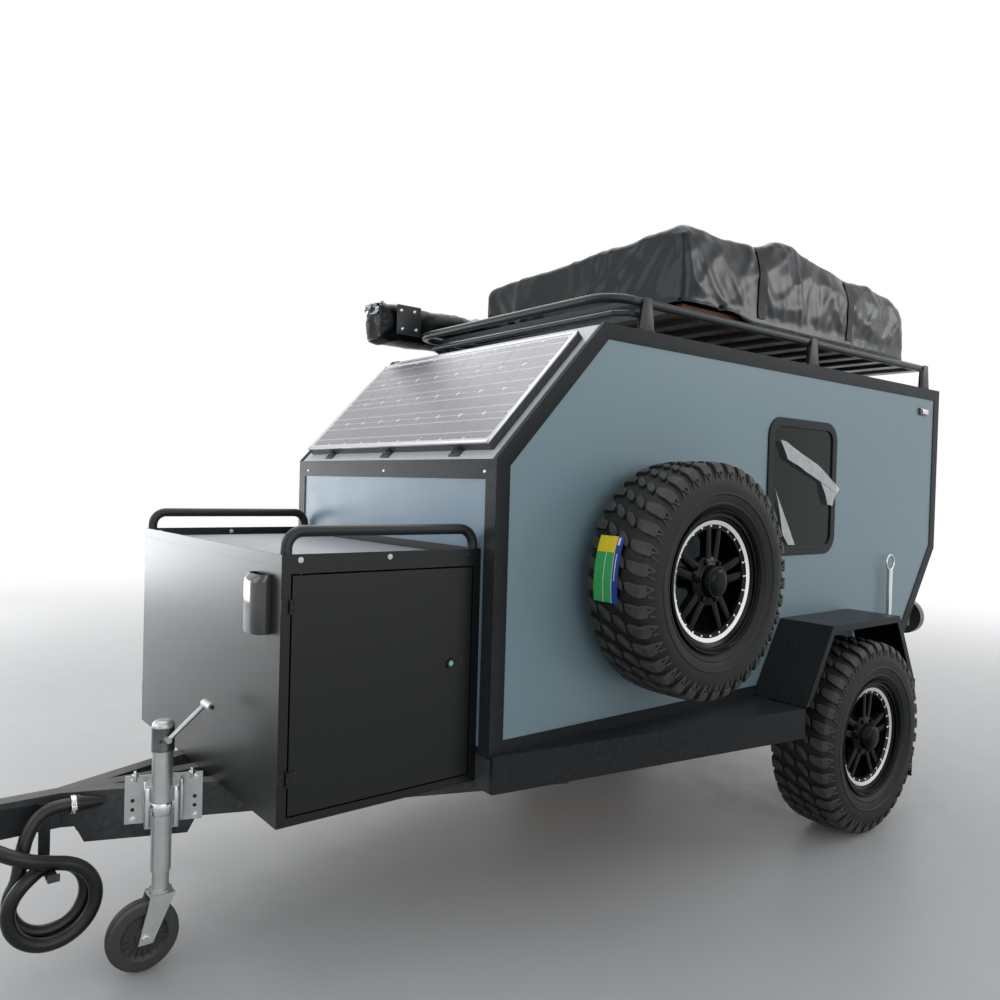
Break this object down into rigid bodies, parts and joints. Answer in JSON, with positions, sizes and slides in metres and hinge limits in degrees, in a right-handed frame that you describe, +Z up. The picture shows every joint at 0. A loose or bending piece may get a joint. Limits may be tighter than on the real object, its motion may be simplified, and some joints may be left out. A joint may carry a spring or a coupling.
{
  "type": "teardrop camper trailer",
  "caption": "Off-road teardrop camper trailer: squared cabin with a sloping front, front locker on an A-frame drawbar, roof rack with a folded tent, side spare wheel and jockey wheel.",
  "frame": {"origin": "On the ground under the middle of the trailer's length and width.", "axes": "+X runs from the tow coupling to the tail, +Y to the entrance door's side, +Z up."},
  "size_m": [4.65, 1.957, 2.5],
  "materials": {
    "body_blue_grey": "satin paint",
    "sheet_pale": "satin paint",
    "trim_dark": "satin powder coat",
    "frame_black": "fine textured powder coat",
    "step_black": "satin powder coat",
    "locker_black": "satin paint",
    "lid_grey": "satin paint",
    "lamp_dark": "smoked lens",
    "lamp_red": "moulded lens",
    "solar_blue": "cells under glass",
    "cover_grey": "coated cloth with a sheen",
    "board_wood": "varnished edge",
    "galley_wood": "laminated board",
    "mattress_foam": "woven cover",
    "bag_silver": "crinkled metallised wrap",
    "window_smoke": "tinted",
    "window_black": "moulded",
    "tyre_black": "moulded rubber",
    "rim_black": "gloss black with a machined ring",
    "hub_dark": "painted",
    "coupling_black": "painted",
    "zinc_grey": "zinc plated",
    "steel_bright": "plated",
    "rubber_grey": "moulded",
    "flap_rubber": "sheet",
    "conduit_black": "corrugated"
  },
  "bodies": {
    "trailer": {"side_wall_left": "body_blue_grey", "side_wall_right": "body_blue_grey", "front_wall": "body_blue_grey", "tail_panel": "body_blue_grey", "roof_panel": "body_blue_grey", "front_slope": "sheet_pale", "edge_trims": "trim_dark", "chassis_rails": "frame_black", "cross_members": "frame_black", "drawbar_rails": "frame_black", "centre_beam": "frame_black", "axle": "frame_black", "leaf_springs": "frame_black", "spare_carrier": "frame_black", "roof_rack": "frame_black", "rack_slats": "frame_black", "side_steps": "step_black", "fenders": "step_black", "locker_shell": "locker_black", "locker_rails": "locker_black", "locker_lid": "lid_grey", "locker_lamp": "lamp_dark", "tail_lamps": "lamp_red", "solar_panel": "solar_blue", "roof_tent": "cover_grey", "tent_board": "board_wood", "galley_wall": "galley_wood", "floor_panel": "galley_wood", "mattress": "mattress_foam", "awning_bag": "bag_silver", "window_pane": "window_smoke", "window_frame": "window_black", "spare_tyre": "tyre_black", "spare_rim": "rim_black", "coupling": "coupling_black", "jockey_tube": "zinc_grey", "jockey_bracket": "zinc_grey", "mud_flaps": "flap_rubber", "conduit_gland": "conduit_black", "conduit_feed": "conduit_black", "conduit_coil": "conduit_black", "conduit_tail": "conduit_black", "conduit_plug": "conduit_black"},
    "wheel_left": {"tyre_left": "tyre_black", "rim_left": "rim_black", "hub_left": "hub_dark"},
    "wheel_right": {"tyre_right": "tyre_black", "rim_right": "rim_black", "hub_right": "hub_dark"},
    "locker_door_left": {"locker_door_left": "locker_black"},
    "locker_door_right": {"locker_door_right": "locker_black"},
    "entrance_door": {"entrance_door": "body_blue_grey", "door_pane": "window_smoke"},
    "rear_hatch": {"rear_hatch": "body_blue_grey"},
    "jockey_leg": {"jockey_leg": "zinc_grey"},
    "jockey_fork": {"jockey_fork": "zinc_grey"},
    "jockey_wheel": {"jockey_wheel": "rubber_grey"},
    "drop_leg_left": {"drop_leg_left": "steel_bright"},
    "drop_leg_right": {"drop_leg_right": "steel_bright"}
  },
  "joints": [
    {"name": "wheel_left_spin", "type": "hinge", "parent": "trailer", "child": "wheel_left", "pos_m": [1.205, -0.838, 0.402], "axis": [0, 1, 0], "continuous": true},
    {"name": "wheel_right_spin", "type": "hinge", "parent": "trailer", "child": "wheel_right", "pos_m": [1.205, 0.838, 0.402], "axis": [0, 1, 0], "continuous": true},
    {"name": "locker_door_left_swing", "type": "hinge", "parent": "trailer", "child": "locker_door_left", "pos_m": [-1.252, -0.6195, 0.837], "axis": [0, 0, -1], "range_deg": [0, 110]},
    {"name": "locker_door_right_swing", "type": "hinge", "parent": "trailer", "child": "locker_door_right", "pos_m": [-1.252, 0.6195, 0.837], "axis": [0, 0, 1], "range_deg": [0, 110]},
    {"name": "entrance_door_swing", "type": "hinge", "parent": "trailer", "child": "entrance_door", "pos_m": [-0.005, 0.6875, 1.215], "axis": [0, 0, 1], "range_deg": [0, 110]},
    {"name": "rear_hatch_lift", "type": "hinge", "parent": "trailer", "child": "rear_hatch", "pos_m": [2.317, 0, 1.974], "axis": [0, -1, 0], "range_deg": [0, 80]},
    {"name": "jockey_leg_screw", "type": "slide", "parent": "trailer", "child": "jockey_leg", "axis": [0, 0, 1], "range_m": [-0.15, 0.045]},
    {"name": "jockey_swivel", "type": "hinge", "parent": "jockey_leg", "child": "jockey_fork", "pos_m": [-1.445, -0.2, 0.214], "axis": [0, 0, 1], "continuous": true},
    {"name": "jockey_wheel_spin", "type": "hinge", "parent": "jockey_fork", "child": "jockey_wheel", "pos_m": [-1.491, -0.2, 0.1], "axis": [0, 1, 0], "continuous": true},
    {"name": "drop_leg_left_slide", "type": "slide", "parent": "trailer", "child": "drop_leg_left", "axis": [0, 0, 1], "range_m": [-0.42, 0]},
    {"name": "drop_leg_right_slide", "type": "slide", "parent": "trailer", "child": "drop_leg_right", "axis": [0, 0, 1], "range_m": [-0.42, 0]}
  ]
}
